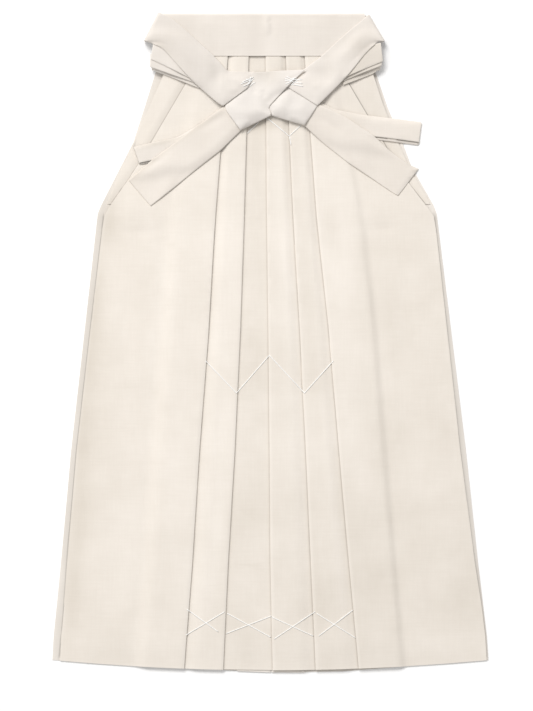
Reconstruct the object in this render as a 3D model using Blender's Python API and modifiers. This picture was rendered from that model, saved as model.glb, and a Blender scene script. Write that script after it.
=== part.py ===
"""Hakama trousers laid flat, front side up.

The waist points to +Y, the hem to -Y, and the back panels rest on the ground.
Tables are in millimetres, with y measured from the middle of the garment's length.
Every cloth piece is a thin wall. Pleats are folded walls drawn through cross sections,
and the ties lie over everything that is already there.
"""

import math

import bmesh
import bpy
import numpy as np

MM = 0.001

# Walls, in millimetres
CLOTH = 1.0
TIE_CLOTH = 1.2
GAP = 0.35
LAYER = CLOTH + GAP
LEAF_SPACE = 0.8

# Waistbands
BAND_LOW = 426.0
BAND_TOP = 489.5
BAND_STEPS = 8
BAND_END_COLUMNS = ("y", "left", "right")
BAND_ENDS = (
    (488.0, -160.0, 139.0),
    (426.0, -168.0, 155.0),
)

# Hem: the lowest point of the front, how far it rises at the sides, and how far the back shows
HEM_LOW = -487.5
HEM_RISE = 15.0
HEM_HALF_WIDTH = 325.0
BACK_HEM_DROP = 4.0
BACK_HEM_CENTRE = 60.0
BACK_HEM_REACH = 150.0
HEM_CURVE_START = -300.0

# Outer edges of the back panels
BACK_COLUMNS = ("y", "left", "right")
BACK_EDGES = (
    (488.0, -144.0, 122.0),
    (426.0, -164.0, 146.0),
    (397.0, -173.5, 157.5),
    (335.0, -193.0, 178.5),
    (298.0, -205.0, 195.5),
    (263.0, -223.0, 208.5),
    (204.0, -253.0, 242.0),
    (192.0, -258.0, 246.5),
    (-160.0, -297.5, 290.0),
    (-472.0, -325.5, 323.5),
)

# Visible outer folds of the front panels: side pleats above the openings, side seams below
FRONT_COLUMNS = ("y", "left", "right")
FRONT_EDGES = (
    (488.0, -103.0, 90.0),
    (426.0, -103.0, 90.0),
    (386.0, -126.0, 114.5),
    (309.0, -171.5, 160.5),
    (266.0, -196.5, 186.0),
    (242.0, -212.0, 200.0),
    (202.0, -241.0, 232.5),
    (186.0, -249.0, 243.5),
    (-160.0, -289.0, 281.5),
    (-323.0, -303.0, 302.5),
    (-418.0, -309.0, 316.0),
    (-474.0, -314.0, 321.0),
)

# Hemmed edges of the side openings, on the under layer of the side pleats
OPENING_COLUMNS = ("y", "left", "right")
OPENING_EDGES = (
    (484.0, -124.0, 123.0),
    (426.0, -148.0, 143.0),
    (397.0, -160.5, 152.5),
    (343.0, -184.5, 170.5),
    (304.0, -201.5, 187.0),
    (263.0, -219.5, 203.0),
    (208.0, -243.5, 237.0),
)
SIDE_PLEAT_BOTTOM = 206.0
SIDE_PLEAT_TUCK = 10.0

# The five front pleat folds, from left to right
PLEAT_COLUMNS = ("y", "one", "two", "three", "four", "five")
PLEAT_FOLDS = (
    (426.0, -64.0, -33.0, -8.0, 22.0, 50.0),
    (182.0, -83.0, -40.0, -6.0, 33.5, 68.5),
    (19.0, -92.5, -45.5, -4.0, 43.0, 86.0),
    (-175.0, -107.5, -54.5, -2.0, 52.5, 102.5),
    (-323.0, -116.5, -63.5, -1.0, 59.0, 115.5),
    (-484.0, -129.0, -71.0, 2.5, 66.5, 130.5),
)

# How deep the outermost pleats run under the side panels
DEPTH_COLUMNS = ("y", "one", "five")
DEPTHS = (
    (488.0, 22.0, 20.0),
    (426.0, 22.0, 20.0),
    (386.0, 30.0, 31.0),
    (182.0, 48.0, 60.0),
    (-484.0, 50.0, 57.0),
)
INNER_DEPTH_SHARE = 0.6
CENTRE_SEAM_OFFSET = 10.0
CENTRE_SEAM_GAP = 0.6
IMPRINT_WIDTHS = {"left": 26.0, "right": 13.0}
BACK_UNDERLAP = 50.0
BACK_FOLD_X = 0.4

# Where the panels climb over the bands' inner leaves, and down past the openings
BACK_CLIMB = (400.0, 423.0)
FRONT_CLIMB = (325.0, 418.0)
OPENING_CLIMB = (150.0, 196.0)

PANEL_STATIONS = (
    483.0, 455.0, 427.0, 415.0, 400.0, 380.0, 355.0, 325.0, 290.0, 250.0, 218.0, 200.0,
    188.0, 168.0, 145.0, 90.0, 20.0, -70.0, -160.0, -250.0, -330.0, -400.0, -450.0, -487.5,
)
BACK_STATIONS = (
    483.0, 430.0, 423.0, 412.0, 400.0, 350.0, 298.0, 263.0, 204.0, 192.0, 20.0, -160.0,
    -330.0, -400.0, -450.0, -487.5,
)

# Grid that carries the height of the cloth already laid
FIELD_CELL = 2.0
FIELD_HALF_X = 370.0
FIELD_HALF_Y = 520.0
BRIDGE_STEPS = 9
SMOOTH_STEPS = 5
STRIP_CELL = 8.5

# The ties. Each row crosses a strip, from its lower to its upper edge
STRIP_COLUMNS = ("low x", "low y", "up x", "up y")
WRAPS = {
    "wrap_left_inner": (
        (-177.5, 404.5, -179.5, 417.0),
        (-160.5, 399.0, -162.0, 411.0),
        (-127.0, 386.0, -129.0, 399.5),
        (-106.0, 377.5, -108.0, 391.0),
    ),
    "wrap_left_middle": (
        (-179.9, 409.5, -179.0, 429.0),
        (-150.0, 399.0, -151.0, 416.0),
        (-116.0, 387.0, -118.0, 402.0),
        (-104.0, 381.0, -106.0, 395.0),
    ),
    "wrap_left_outer": (
        (-178.9, 421.0, -175.0, 444.0),
        (-150.0, 407.5, -151.0, 440.0),
        (-120.5, 392.5, -124.0, 418.0),
        (-106.0, 385.0, -106.0, 404.0),
    ),
    "wrap_right_inner": (
        (161.5, 404.0, 164.5, 413.0),
        (148.0, 398.0, 150.0, 410.0),
        (122.0, 388.0, 124.0, 400.0),
        (107.0, 382.5, 109.0, 394.0),
    ),
    "wrap_right_middle": (
        (164.5, 411.5, 165.0, 427.0),
        (149.0, 405.5, 150.0, 422.0),
        (125.0, 396.0, 127.0, 411.0),
        (107.0, 388.0, 109.0, 403.0),
    ),
    "wrap_right_outer": (
        (166.3, 417.5, 163.2, 445.5),
        (149.0, 410.5, 147.0, 441.0),
        (125.0, 400.5, 126.0, 420.0),
        (108.0, 393.0, 108.0, 408.0),
    ),
}
# The innermost turn folds back under itself at the side, just over the back panel
WRAP_RETURN = 8.0
WRAP_RETURN_Z = 3.95

LOOP_LEFT = (
    (-42.0, 334.0, -53.5, 360.5),
    (-55.0, 323.5, -73.0, 350.0),
    (-88.0, 298.0, -105.5, 325.0),
    (-129.5, 277.5, -138.5, 305.5),
    (-168.0, 273.0, -171.0, 299.0),
    (-196.5, 267.0, -205.0, 291.0),
)
LOOP_RIGHT = (
    (38.5, 337.0, 43.0, 368.0),
    (67.0, 326.5, 76.5, 356.0),
    (87.5, 317.5, 95.0, 346.5),
    (134.0, 308.5, 138.0, 338.5),
    (175.5, 304.0, 180.0, 333.5),
    (220.5, 298.0, 224.5, 328.0),
)
LOOP_LEFT_SHIFT = (1.0, -3.0)
LOOP_RIGHT_SHIFT = (-0.5, -4.5)

TAIL_LEFT = (
    (-31.0, 328.0, -64.0, 356.0),
    (-45.0, 315.0, -72.5, 349.5),
    (-75.0, 285.5, -108.5, 323.0),
    (-110.5, 258.0, -144.0, 296.0),
    (-142.0, 232.0, -174.0, 274.0),
    (-179.0, 203.0, -212.0, 241.5),
)
TAIL_RIGHT = (
    (28.0, 334.0, 46.0, 362.0),
    (49.5, 322.5, 70.0, 354.5),
    (76.5, 297.5, 110.0, 335.5),
    (113.0, 268.5, 153.0, 307.5),
    (147.0, 246.0, 179.0, 283.5),
    (174.0, 227.5, 208.5, 263.0),
    (189.0, 218.5, 220.0, 258.5),
)

KNOT_RIGHT = (
    (74.0, 359.0, 19.0, 387.0),
    (69.0, 352.0, 14.0, 377.0),
    (59.5, 337.0, -7.0, 354.0),
    (50.0, 322.0, 0.7, 337.0),
)
KNOT_LEFT = (
    (51.3, 405.2, -28.0, 401.5),
    (31.0, 386.5, -46.0, 384.0),
    (3.0, 357.0, -64.0, 365.0),
    (-4.0, 349.0, -71.0, 350.5),
    (0.2, 342.0, -58.0, 332.5),
    (0.2, 337.0, -45.5, 315.0),
)
KNOT_RETURN = 9.0

TIE_RIGHT = (
    (69.0, 351.5, 21.0, 381.5),
    (93.5, 375.5, 43.0, 402.0),
    (113.0, 395.5, 75.0, 425.5),
    (127.0, 412.5, 96.0, 445.0),
    (138.5, 427.5, 117.5, 464.5),
    (153.5, 442.5, 131.0, 475.0),
    (160.0, 447.5, 140.0, 483.5),
    (169.5, 449.0, 146.5, 488.0),
)
TIE_LEFT = (
    (-34.0, 378.5, -24.0, 402.5),
    (-53.0, 364.5, -45.0, 402.5),
    (-72.5, 350.0, -65.5, 403.5),
    (-90.0, 365.0, -74.0, 414.0),
    (-115.5, 387.0, -86.5, 427.5),
    (-135.0, 408.0, -104.0, 443.0),
    (-152.5, 427.5, -122.0, 460.0),
    (-162.0, 438.0, -138.0, 474.0),
    (-175.5, 443.5, -152.0, 484.5),
    (-189.5, 449.0, -168.0, 491.5),
)

# How round folded edges are, and where an upper leaf sinks back to what is under it
FOLD_BULGE = 2.5
LOOP_BULGE = 2.0
LIFT_PAST_LEAF = 6.0
LIFT_FADE = 18.0

# Height of the ties' hidden leaf over the ground
TIE_RETURN_Z = TIE_CLOTH + 0.1
# Where the ties start, beside the ends of the back waistband: lower and upper corner
TIE_LEFT_START = ((-166.0, 450.0), (-161.0, 488.0))
TIE_RIGHT_START = ((150.0, 450.0), (139.8, 487.0))

# Cloth colours, straight from the object
NATURAL_COTTON = (0.86, 0.79, 0.69)
FRONT_COTTON = (0.88, 0.82, 0.72)
TIE_COTTON = (0.85, 0.78, 0.68)


def remove_everything():
    """Empties the scene without closing the file."""
    for old in list(bpy.data.objects):
        bpy.data.objects.remove(old, do_unlink=True)


def make_material(name, colour, roughness):
    """Plain cloth."""
    material = bpy.data.materials.new(name)
    material.use_nodes = True
    shader = material.node_tree.nodes["Principled BSDF"]
    shader.inputs["Base Color"].default_value = (*colour, 1.0)
    shader.inputs["Roughness"].default_value = roughness
    shader.inputs["Metallic"].default_value = 0.0
    return material


def ease(value):
    """0 to 1 with soft ends."""
    value = min(max(value, 0.0), 1.0)
    return value * value * (3.0 - 2.0 * value)


def climb(y, span):
    """0 below a span of heights, 1 above it."""
    return ease((y - span[0]) / (span[1] - span[0]))


def read_table(columns, rows, column, y):
    """A named column at height y. The rows run from the waist down."""
    heights = [row[0] for row in reversed(rows)]
    values = [row[columns.index(column)] for row in reversed(rows)]
    return float(np.interp(y, heights, values))


def level(index):
    """Middle of a wall that has index layers of cloth under it."""
    return index * LAYER + CLOTH / 2.0


def hem_shift(x, y, extra):
    """How far a point moves along Y so that the last station follows the hem's curve."""
    share = ease((HEM_CURVE_START - y) / (HEM_CURVE_START - HEM_LOW))
    curve = HEM_RISE * (x / HEM_HALF_WIDTH) ** 2
    return share * (curve - extra)


def back_hem_extra(x):
    """How much longer the back hangs than the front, near the middle."""
    return BACK_HEM_DROP * max(0.0, 1.0 - ((x - BACK_HEM_CENTRE) / BACK_HEM_REACH) ** 2)


def sheet_object(name, rows, thickness, offset, material, parent):
    """An open grid of points, rows by columns, thickened into a wall."""
    mesh = bpy.data.meshes.new(name)
    shape = bmesh.new()
    grid = [[shape.verts.new([value * MM for value in point]) for point in row] for row in rows]
    for near, far in zip(grid, grid[1:]):
        for column in range(len(near) - 1):
            shape.faces.new((near[column], near[column + 1], far[column + 1], far[column]))
    shape.to_mesh(mesh)
    shape.free()
    mesh.materials.append(material)
    thing = bpy.data.objects.new(name, mesh)
    COLLECTION.objects.link(thing)
    thing.parent = parent
    wall = thing.modifiers.new("wall", "SOLIDIFY")
    wall.thickness = thickness * MM
    wall.offset = offset
    wall.use_even_offset = True
    return thing


def hairpin(fold_x, direction, start, end):
    """Points of a folded edge whose outer side is at fold_x, from one level to another."""
    half = (start - end) / 2.0
    centre = fold_x - direction * (abs(half) + CLOTH / 2.0)
    points = []
    for angle in (90.0, 30.0, -30.0, -90.0):
        turn = math.radians(angle)
        across = direction * abs(half) * math.cos(turn)
        points.append((centre + across, (start + end) / 2.0 + half * math.sin(turn)))
    return points


def ramp(x0, z0, x1, z1, steps):
    """Inner points of a soft slope between two levels."""
    points = []
    for step in range(1, steps):
        share = step / steps
        points.append((x0 + (x1 - x0) * share, z0 + (z1 - z0) * ease(share)))
    return points


def pleated_path(edge, edge_z, folds, depths, seam, levels, imprint):
    """Cross section of a front panel whose folds face +X, from its side edge to its seam."""
    low, middle, high = levels
    inner = folds[0] - depths[0]
    top_start = inner - 2.0
    slope_start = max(edge + 5.0, top_start - imprint)
    points = [(edge, edge_z), ((edge + slope_start) / 2.0, edge_z), (slope_start, edge_z)]
    points += ramp(slope_start, edge_z, top_start, high, 4)
    points += [(top_start, high)]
    for number, (fold, depth) in enumerate(zip(folds, depths)):
        if number > 0:
            previous = folds[number - 1]
            points += [(previous + 1.0, low)]
            points += ramp(previous + 1.0, low, fold - depth - 2.0, high, 3)
            points += [(fold - depth - 2.0, high)]
        points += hairpin(fold, 1.0, high, middle)
        points += hairpin(fold - depth, -1.0, middle, low)
    points += [(seam, low)]
    return points


def front_levels(y):
    """Levels of the three pleat layers at height y."""
    base = 2.0 + 3.0 * climb(y, FRONT_CLIMB)
    return level(base), level(base + 1.0), level(base + 2.0)


def front_edge_level(y):
    """Level of a front panel at its side edge."""
    return level(1.0 + climb(y, OPENING_CLIMB) + 4.0 * climb(y, FRONT_CLIMB))


def front_section(y, side):
    """Points of a front panel's cross section at height y, with the hem's curve."""
    sign = 1.0 if side == "left" else -1.0
    fold = {name: read_table(PLEAT_COLUMNS, PLEAT_FOLDS, name, y) for name in PLEAT_COLUMNS[1:]}
    edge = sign * read_table(FRONT_COLUMNS, FRONT_EDGES, side, y)
    if side == "left":
        folds = [fold["one"], fold["two"]]
        outer_depth = read_table(DEPTH_COLUMNS, DEPTHS, "one", y)
        seam = fold["three"] + CENTRE_SEAM_OFFSET
    else:
        folds = [-fold["five"], -fold["four"], -fold["three"]]
        outer_depth = read_table(DEPTH_COLUMNS, DEPTHS, "five", y)
        seam = -(fold["three"] + CENTRE_SEAM_OFFSET + CENTRE_SEAM_GAP)
    depths = [outer_depth]
    for previous, current in zip(folds, folds[1:]):
        depths.append(INNER_DEPTH_SHARE * (current - previous))
    edge_z = front_edge_level(y)
    path = pleated_path(edge, edge_z, folds, depths, seam, front_levels(y), IMPRINT_WIDTHS[side])
    return [(sign * x, y + hem_shift(x, y, 0.0), z) for x, z in path]


def back_section(y, side):
    """Points of a back panel's cross section, flat on the ground with a pleat at the centre."""
    sign = 1.0 if side == "left" else -1.0
    edge = sign * read_table(BACK_COLUMNS, BACK_EDGES, side, y)
    base = climb(y, BACK_CLIMB)
    path = [(edge, level(base)), (edge * 0.66, level(base)), (edge * 0.33, level(base))]
    path += hairpin(-BACK_FOLD_X, 1.0, level(base), level(base + 1.0))
    path += [(-BACK_UNDERLAP, level(base + 1.0))]
    return [(sign * x, y + hem_shift(x, y, back_hem_extra(sign * x)), z) for x, z in path]


def side_pleat_section(y, side):
    """Points of the under layer of a side pleat, from the opening's edge to under the panel."""
    sign = 1.0 if side == "left" else -1.0
    edge = read_table(OPENING_COLUMNS, OPENING_EDGES, side, y)
    inner = read_table(FRONT_COLUMNS, FRONT_EDGES, side, y) + sign * SIDE_PLEAT_TUCK
    z = level(1.0 + 4.0 * climb(y, FRONT_CLIMB))
    return [(edge, y, z), ((edge + inner) / 2.0, y, z), (inner, y, z)]


def waistband(name, front_index, back_index, material, parent):
    """A band folded over the tops of its panels: two leaves joined by a fold at the top.

    The indexes say how many layers of cloth lie under each leaf.
    """
    front, back = level(front_index), level(back_index)
    half = (front - back) / 2.0
    profile = [(BAND_LOW, front), ((BAND_LOW + BAND_TOP) / 2.0, front)]
    centre = BAND_TOP - CLOTH / 2.0 - half
    for angle in (90.0, 54.0, 18.0, -18.0, -54.0, -90.0):
        turn = math.radians(angle)
        profile.append((centre + half * math.cos(turn), (front + back) / 2.0 + half * math.sin(turn)))
    profile += [((BAND_LOW + BAND_TOP) / 2.0, back), (BAND_LOW, back)]
    rows = []
    for step in range(BAND_STEPS + 1):
        row = []
        for y, z in profile:
            left = read_table(BAND_END_COLUMNS, BAND_ENDS, "left", y)
            right = read_table(BAND_END_COLUMNS, BAND_ENDS, "right", y)
            row.append((left + (right - left) * step / BAND_STEPS, y, z))
        rows.append(row)
    return sheet_object(name, rows, CLOTH, 0.0, material, parent)


class LaidHeight:
    """Height of the cloth laid so far, on a square grid."""

    def __init__(self):
        columns = int(2 * FIELD_HALF_X / FIELD_CELL) + 1
        rows = int(2 * FIELD_HALF_Y / FIELD_CELL) + 1
        self.top = np.zeros((rows, columns))

    def add(self, thing):
        """Records the top of an object's walls."""
        bpy.context.view_layer.update()
        seen = thing.evaluated_get(bpy.context.evaluated_depsgraph_get())
        mesh = seen.to_mesh()
        mesh.calc_loop_triangles()
        points = np.array([vertex.co[:] for vertex in mesh.vertices]) / MM
        for triangle in mesh.loop_triangles:
            self.add_triangle(points[list(triangle.vertices)])
        seen.to_mesh_clear()

    def add_triangle(self, corners):
        """Raises the grid cells that one triangle covers."""
        columns = (corners[:, 0] + FIELD_HALF_X) / FIELD_CELL
        rows = (corners[:, 1] + FIELD_HALF_Y) / FIELD_CELL
        c0, c1 = int(columns.min()), int(columns.max()) + 1
        r0, r1 = int(rows.min()), int(rows.max()) + 1
        area = (columns[1] - columns[0]) * (rows[2] - rows[0])
        area -= (columns[2] - columns[0]) * (rows[1] - rows[0])
        if abs(area) < 1e-6:
            return
        c, r = np.meshgrid(np.arange(c0, c1 + 1), np.arange(r0, r1 + 1))
        second = (c - columns[0]) * (rows[2] - rows[0]) - (columns[2] - columns[0]) * (r - rows[0])
        third = (columns[1] - columns[0]) * (r - rows[0]) - (c - columns[0]) * (rows[1] - rows[0])
        second, third = second / area, third / area
        z = corners[0, 2] + second * (corners[1, 2] - corners[0, 2])
        z = z + third * (corners[2, 2] - corners[0, 2])
        inside = (second > -0.05) & (third > -0.05) & (second + third < 1.05)
        z = np.where(inside, np.minimum(z, corners[:, 2].max()), 0.0)
        patch = self.top[r0:r1 + 1, c0:c1 + 1]
        np.maximum(patch, z, out=patch)

    def bridged(self):
        """The height at which stiff cloth clears every step nearby."""
        field = self.top.copy()
        for _ in range(BRIDGE_STEPS):
            wide = field.copy()
            wide[1:] = np.maximum(wide[1:], field[:-1])
            wide[:-1] = np.maximum(wide[:-1], field[1:])
            tall = wide.copy()
            tall[:, 1:] = np.maximum(tall[:, 1:], wide[:, :-1])
            tall[:, :-1] = np.maximum(tall[:, :-1], wide[:, 1:])
            field = tall
        for _ in range(SMOOTH_STEPS):
            padded = np.pad(field, 1, mode="edge")
            field = (padded[:-2, 1:-1] + padded[1:-1, 1:-1] + padded[2:, 1:-1]) / 3.0
            padded = np.pad(field, 1, mode="edge")
            field = (padded[1:-1, :-2] + padded[1:-1, 1:-1] + padded[1:-1, 2:]) / 3.0
        return field


def field_height(field, x, y):
    """Reads a height field between its cells."""
    column = (x + FIELD_HALF_X) / FIELD_CELL
    row = (y + FIELD_HALF_Y) / FIELD_CELL
    c, r = int(column), int(row)
    u, v = column - c, row - r
    near = field[r, c] * (1.0 - u) + field[r, c + 1] * u
    far = field[r + 1, c] * (1.0 - u) + field[r + 1, c + 1] * u
    return near * (1.0 - v) + far * v


def strip_plan(table, shift=(0.0, 0.0)):
    """Plan points of a strip: rows along its length, columns from its lower to its upper edge."""
    column = {name: np.array(table)[:, number] for number, name in enumerate(STRIP_COLUMNS)}
    low = np.stack([column["low x"], column["low y"]], axis=1)
    up = np.stack([column["up x"], column["up y"]], axis=1)
    steps = np.linalg.norm(np.diff((low + up) / 2.0, axis=0), axis=1)
    along = np.concatenate(([0.0], np.cumsum(steps)))
    width = np.linalg.norm(up - low, axis=1).max()
    count = max(4, int(math.ceil(along[-1] / STRIP_CELL)))
    across = max(3, int(math.ceil(width / STRIP_CELL)))
    wanted = np.linspace(0.0, along[-1], count + 1)
    low = np.stack([np.interp(wanted, along, low[:, axis]) for axis in (0, 1)], axis=1)
    up = np.stack([np.interp(wanted, along, up[:, axis]) for axis in (0, 1)], axis=1)
    shares = np.linspace(0.0, 1.0, across + 1)[None, :, None]
    return low[:, None] * (1.0 - shares) + up[:, None] * shares + np.array(shift)


def outward(plan):
    """Unit vector out of a strip's last row, square to it."""
    edge = plan[-1, -1] - plan[-1, 0]
    normal = np.array((-edge[1], edge[0])) / np.linalg.norm(edge)
    ahead = plan[-1].mean(axis=0) - plan[-2].mean(axis=0)
    return normal if float(normal @ ahead) > 0.0 else -normal


def facing_up(rows):
    """Turns a grid's rows round where its first leaf would face down."""
    first, second, third = np.array(rows[0][0]), np.array(rows[0][1]), np.array(rows[1][0])
    up = np.cross(second - first, third - first)[2]
    return rows if up > 0.0 else [row[::-1] for row in rows]


def laid_strip(name, table, field, material, parent):
    """A single strip lying on what is under it."""
    plan = strip_plan(table)
    rows = []
    for line in plan:
        rows.append([(x, y, field_height(field, x, y) + GAP) for x, y in line])
    return sheet_object(name, facing_up(rows), TIE_CLOTH, 1.0, material, parent)


def under_rows(turned_line, under_plan):
    """Plan rows of an under leaf past its bend. A plan of two lines is filled in between."""
    if len(under_plan) > 2:
        return under_plan[1:]
    length = np.linalg.norm(under_plan[1] - turned_line, axis=1).max()
    steps = max(1, int(math.ceil(length / STRIP_CELL)))
    return [turned_line + (under_plan[1] - turned_line) * (step + 1) / steps for step in range(steps)]


def turned_strip(name, table, leaf, field, material, parent):
    """A strip whose last row is a folded edge, with a leaf that turns back under it.

    leaf holds the plan of the under leaf, from the fold back, then its height, or None where
    it lies on what is below it, then how far its fold bulges.
    """
    under_plan, under_z, bulge = leaf
    plan = strip_plan(table)
    out = outward(plan)
    back_length = np.linalg.norm(under_plan[-1].mean(axis=0) - under_plan[0].mean(axis=0))
    fold_centre = plan[-1].mean(axis=0)

    def leaf_height(x, y):
        if under_z is not None:
            return under_z
        return field_height(field, x, y) + GAP + TIE_CLOTH

    rows = []
    for line in plan:
        distance = np.linalg.norm(line.mean(axis=0) - fold_centre)
        lift = ease(1.0 - (distance - back_length - LIFT_PAST_LEAF) / LIFT_FADE)
        if under_z is not None:
            lift = 0.0
        row = []
        for x, y in line:
            z = field_height(field, x, y) + GAP + lift * (TIE_CLOTH + LEAF_SPACE)
            row.append((x, y, z))
        rows.append(row)

    upper, lower = [], []
    for column in range(plan.shape[1]):
        x, y, z = rows[-1][column]
        ux, uy = under_plan[0][column]
        bottom = leaf_height(ux, uy)
        reach = min((z - bottom) / 2.0, bulge)
        inset = reach + TIE_CLOTH
        upper.append((x - out[0] * inset, y - out[1] * inset, z, reach))
        lower.append((ux - out[0] * inset, uy - out[1] * inset, bottom))
    rows[-1] = [point[:3] for point in upper]
    for angle in (50.0, 0.0, -50.0):
        turn = math.radians(angle)
        row = []
        for (x, y, z, reach), (lx, ly, bottom) in zip(upper, lower):
            share = 0.5 + 0.5 * math.sin(turn)
            px = lx + (x - lx) * share + out[0] * reach * math.cos(turn)
            py = ly + (y - ly) * share + out[1] * reach * math.cos(turn)
            row.append((px, py, (z + bottom) / 2.0 + (z - bottom) / 2.0 * math.sin(turn)))
        rows.append(row)
    rows.append(lower)
    for line in under_rows(np.array(lower)[:, :2], under_plan):
        rows.append([(x, y, leaf_height(x, y)) for x, y in line])
    return sheet_object(name, facing_up(rows), TIE_CLOTH, 1.0, material, parent)


def return_plan(table, target_low, target_up):
    """Plan of a leaf that turns back from a strip's fold to a straight line."""
    fold = strip_plan(table)[-1]
    shares = np.linspace(0.0, 1.0, len(fold))[:, None]
    target = np.array(target_low) * (1.0 - shares) + np.array(target_up) * shares
    return np.stack([fold, target])


def straight_return(table, length):
    """Plan of a leaf that turns straight back under a strip."""
    plan = strip_plan(table)
    back = -outward(plan) * (length + TIE_CLOTH)
    fold = plan[-1]
    return np.stack([fold, fold + back])


def build_panels(parent, laid):
    """Back panels, side pleats, front panels and the two bands."""
    natural = make_material("natural_cotton", NATURAL_COTTON, 0.9)
    front_cloth = make_material("front_cotton", FRONT_COTTON, 0.9)
    pieces = []
    for side in ("left", "right"):
        rows = [back_section(y, side) for y in BACK_STATIONS]
        pieces.append(sheet_object("back_" + side, rows, CLOTH, 0.0, natural, parent))
        stations = [y for y in PANEL_STATIONS if y > SIDE_PLEAT_BOTTOM] + [SIDE_PLEAT_BOTTOM]
        rows = [side_pleat_section(y, side) for y in stations]
        pieces.append(sheet_object("side_pleat_" + side, rows, CLOTH, 0.0, natural, parent))
        rows = [front_section(y, side) for y in PANEL_STATIONS]
        pieces.append(sheet_object("front_" + side, rows, CLOTH, 0.0, front_cloth, parent))
    pieces.append(waistband("back_waistband", 3, 0, natural, parent))
    pieces.append(waistband("front_waistband", 8, 4, front_cloth, parent))
    for piece in pieces:
        laid.add(piece)


def build_wraps(parent, laid, cloth):
    """The front ties, wound round the waist: three turns show at each side."""
    for name, table in WRAPS.items():
        field = laid.bridged()
        if name.endswith("inner"):
            table = table[::-1]
            leaf = (straight_return(table, WRAP_RETURN), WRAP_RETURN_Z, FOLD_BULGE)
            laid.add(turned_strip(name, table, leaf, field, cloth, parent))
        else:
            laid.add(laid_strip(name, table, field, cloth, parent))


def build_bow(parent, laid, cloth):
    """Loops, tails and knot with the ties that run into it, from the lowest layer up."""
    for name, table, shift in (
        ("loop_left", LOOP_LEFT, LOOP_LEFT_SHIFT),
        ("loop_right", LOOP_RIGHT, LOOP_RIGHT_SHIFT),
    ):
        leaf = (strip_plan(table, shift)[::-1], None, LOOP_BULGE)
        laid.add(turned_strip(name, table, leaf, laid.bridged(), cloth, parent))
    for name, table in (("tail_left", TAIL_LEFT), ("tail_right", TAIL_RIGHT)):
        laid.add(laid_strip(name, table, laid.bridged(), cloth, parent))
    for name, table, start in (
        ("knot_right", KNOT_RIGHT, None),
        ("tie_right", TIE_RIGHT, TIE_RIGHT_START),
        ("knot_left", KNOT_LEFT, None),
        ("tie_left", TIE_LEFT, TIE_LEFT_START),
    ):
        if start is None:
            leaf = (straight_return(table, KNOT_RETURN), None, FOLD_BULGE)
        else:
            leaf = (return_plan(table, *start), TIE_RETURN_Z, FOLD_BULGE)
        laid.add(turned_strip(name, table, leaf, laid.bridged(), cloth, parent))


def centre_on_origin(parent):
    """Moves the whole garment so that its box stands centred on the origin."""
    bpy.context.view_layer.update()
    graph = bpy.context.evaluated_depsgraph_get()
    corners = []
    for thing in COLLECTION.objects:
        if thing.type == "MESH":
            seen = thing.evaluated_get(graph)
            mesh = seen.to_mesh()
            corners += [vertex.co[:] for vertex in mesh.vertices]
            seen.to_mesh_clear()
    corners = np.array(corners)
    middle = (corners.min(axis=0) + corners.max(axis=0)) / 2.0
    parent.location = (-middle[0], -middle[1], -corners[:, 2].min())
    bpy.context.view_layer.update()


remove_everything()
COLLECTION = bpy.data.collections.new("hakama")
bpy.context.scene.collection.children.link(COLLECTION)
garment = bpy.data.objects.new("garment", None)
COLLECTION.objects.link(garment)
laid_height = LaidHeight()
tie_cloth = make_material("tie_cotton", TIE_COTTON, 0.9)
build_panels(garment, laid_height)
build_wraps(garment, laid_height, tie_cloth)
build_bow(garment, laid_height, tie_cloth)
centre_on_origin(garment)
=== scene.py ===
"""Looks of a pair of hakama trousers laid flat, front side up, around their packed cloth solids.

Every panel, pleat, band and tie becomes a finely divided shell on its own solid's form, with
creases placed one by one. White basting threads hold the pleats. Tables are in millimetres unless
they say otherwise, in the same frame as the solids: the waist points to +Y and the ground is at
height 0.
"""

import math

import bmesh
import bpy
import numpy as np
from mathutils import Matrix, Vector, noise
from mathutils.bvhtree import BVHTree
from mathutils.kdtree import KDTree


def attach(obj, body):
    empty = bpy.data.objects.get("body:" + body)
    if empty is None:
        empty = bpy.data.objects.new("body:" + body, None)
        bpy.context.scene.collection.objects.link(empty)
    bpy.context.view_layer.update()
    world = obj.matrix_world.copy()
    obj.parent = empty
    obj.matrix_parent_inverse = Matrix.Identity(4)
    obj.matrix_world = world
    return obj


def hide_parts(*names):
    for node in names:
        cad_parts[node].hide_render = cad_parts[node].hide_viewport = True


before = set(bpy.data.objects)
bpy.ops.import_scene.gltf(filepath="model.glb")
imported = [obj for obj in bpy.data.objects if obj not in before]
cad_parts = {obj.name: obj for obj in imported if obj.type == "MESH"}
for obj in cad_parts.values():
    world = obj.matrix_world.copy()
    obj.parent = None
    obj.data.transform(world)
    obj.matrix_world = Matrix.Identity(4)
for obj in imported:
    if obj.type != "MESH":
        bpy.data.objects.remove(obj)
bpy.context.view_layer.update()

MM = 0.001

# Camera: the photograph's frame is 533 by 711 pixels, and one pixel is 1.487 mm of cloth. Its reach is
# in metres.
PIXEL = 1.487
FRAME_HIGH = 711
SENSOR = 36.0
CAMERA_X = -5.7
CAMERA_Y = -19.5
CAMERA_DISTANCE = 6000.0
CAMERA_REACH = 100.0
SUBJECT_HEIGHT = 8.0

# Cell sizes of the shells, and how a solid's triangles are merged, cut and smoothed. Angles are in
# radians.
PANEL_CELL = 6.5
BACK_CELL = 9.0
MERGE_DISTANCE = 0.001
CUT_DISTANCE = 0.02
HALVINGS = 6
TIE_LEVELS = 2
PANEL_JOIN_ANGLE = 0.35
TIE_JOIN_ANGLE = 0.9
JOIN_SKEW = 1.1
RIM_ANGLE = 1.0
RIM_CREASE = 0.8
# Edges bent more than this angle get the painted highlight
PAINTED_HIGHLIGHT_ANGLE = 0.5
SMOOTH_ANGLE = 0.75
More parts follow.
